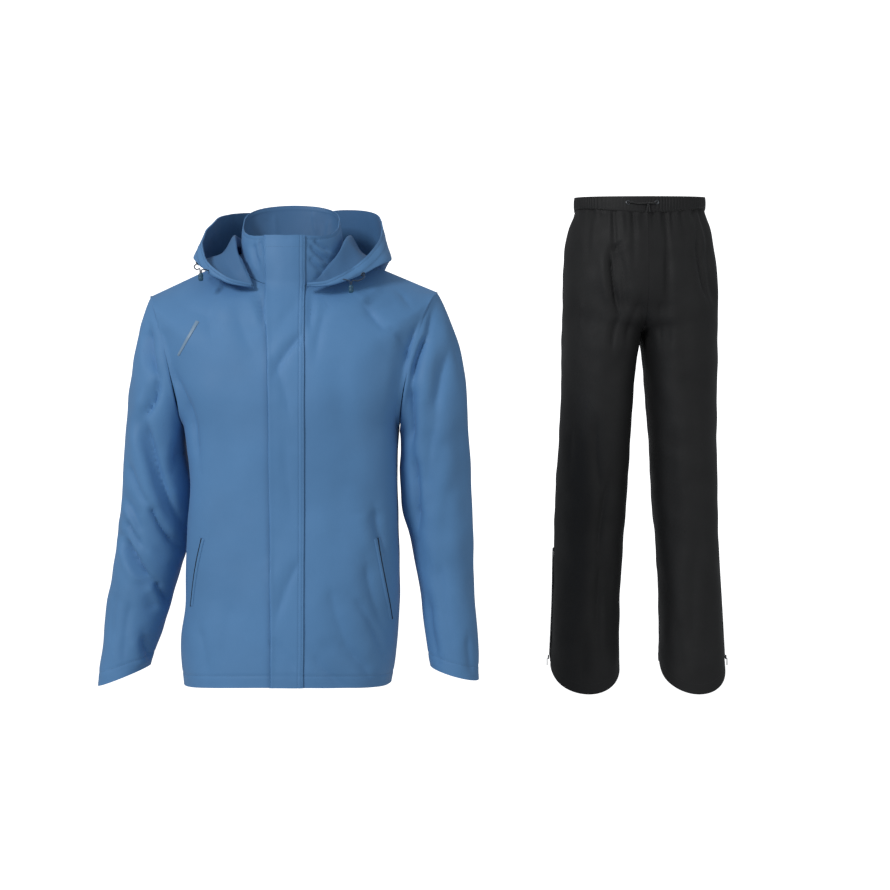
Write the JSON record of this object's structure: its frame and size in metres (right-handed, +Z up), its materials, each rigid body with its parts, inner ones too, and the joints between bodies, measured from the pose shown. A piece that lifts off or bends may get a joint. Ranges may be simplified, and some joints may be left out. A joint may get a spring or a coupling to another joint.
{
  "type": "rain suit",
  "caption": "Two-piece rain suit, worn shape and hollow: hooded zip jacket with storm flap and stand collar, and overtrousers with an elastic drawcord waist and zipped ankles.",
  "frame": {"origin": "middle of the jacket's neck, level with the top of the shoulders, where the wearer's shoulders carry it", "axes": "+Z up, -Y the front of both garments, +X to the wearer's left (the viewer's right); the trousers stand beside and behind the jacket as in the picture"},
  "size_m": [1.2148, 0.7592, 1.0668],
  "materials": {
    "blue_coated_cloth": "matt polyurethane-coated polyester",
    "black_coated_cloth": "matt polyurethane-coated polyester",
    "dark_blue_cord": "woven cord",
    "dark_blue_zip_chain": "moulded zip teeth on tape",
    "black_zip_tape": "woven tape and cord",
    "pale_reflective_tape": "satin reflective tape",
    "dull_metal": "dull tumbled metal",
    "dark_plastic": "moulded, satin"
  },
  "bodies": {
    "suit": {"jacket_back": "blue_coated_cloth", "jacket_collar": "blue_coated_cloth", "jacket_front_left": "blue_coated_cloth", "jacket_front_right": "blue_coated_cloth", "jacket_front_zip": "dark_blue_zip_chain", "jacket_hood_cord_end_left": "dark_blue_cord", "jacket_hood_cord_end_right": "dark_blue_cord", "jacket_hood_cord_left": "dark_blue_cord", "jacket_hood_cord_right": "dark_blue_cord", "jacket_hood_eyelet_left": "dull_metal", "jacket_hood_eyelet_right": "dull_metal", "jacket_hood_hem_left": "blue_coated_cloth", "jacket_hood_hem_right": "blue_coated_cloth", "jacket_hood_left": "blue_coated_cloth", "jacket_hood_right": "blue_coated_cloth", "jacket_hood_stopper_left": "dark_plastic", "jacket_hood_stopper_right": "dark_plastic", "jacket_pocket_welt_left": "blue_coated_cloth", "jacket_pocket_welt_right": "blue_coated_cloth", "jacket_reflective_stripe": "pale_reflective_tape", "jacket_sleeve_left": "blue_coated_cloth", "jacket_sleeve_right": "blue_coated_cloth", "jacket_storm_flap": "blue_coated_cloth", "trousers_ankle_zip_left": "black_zip_tape", "trousers_ankle_zip_right": "black_zip_tape", "trousers_back_left": "black_coated_cloth", "trousers_back_right": "black_coated_cloth", "trousers_drawcord_knot": "black_zip_tape", "trousers_drawcord_left": "black_zip_tape", "trousers_drawcord_right": "black_zip_tape", "trousers_drawcord_tail_left": "black_zip_tape", "trousers_drawcord_tail_right": "black_zip_tape", "trousers_eyelet_left": "dull_metal", "trousers_eyelet_right": "dull_metal", "trousers_front_left": "black_coated_cloth", "trousers_front_right": "black_coated_cloth", "trousers_slider_left": "dull_metal", "trousers_slider_right": "dull_metal", "trousers_waistband": "black_coated_cloth"},
    "ankle_tab_left": {"trousers_pull_tab_left": "dull_metal"},
    "ankle_tab_right": {"trousers_pull_tab_right": "dull_metal"}
  },
  "joints": [
    {"name": "ankle_tab_left_hinge", "type": "hinge", "parent": "suit", "child": "ankle_tab_left", "pos_m": [0.8746, 0.50499, -0.77569], "axis": [0, -1, 0], "range_deg": [0, 160]},
    {"name": "ankle_tab_right_hinge", "type": "hinge", "parent": "suit", "child": "ankle_tab_right", "pos_m": [0.4864, 0.50497, -0.77571], "axis": [0, 1, 0], "range_deg": [0, 160]}
  ]
}
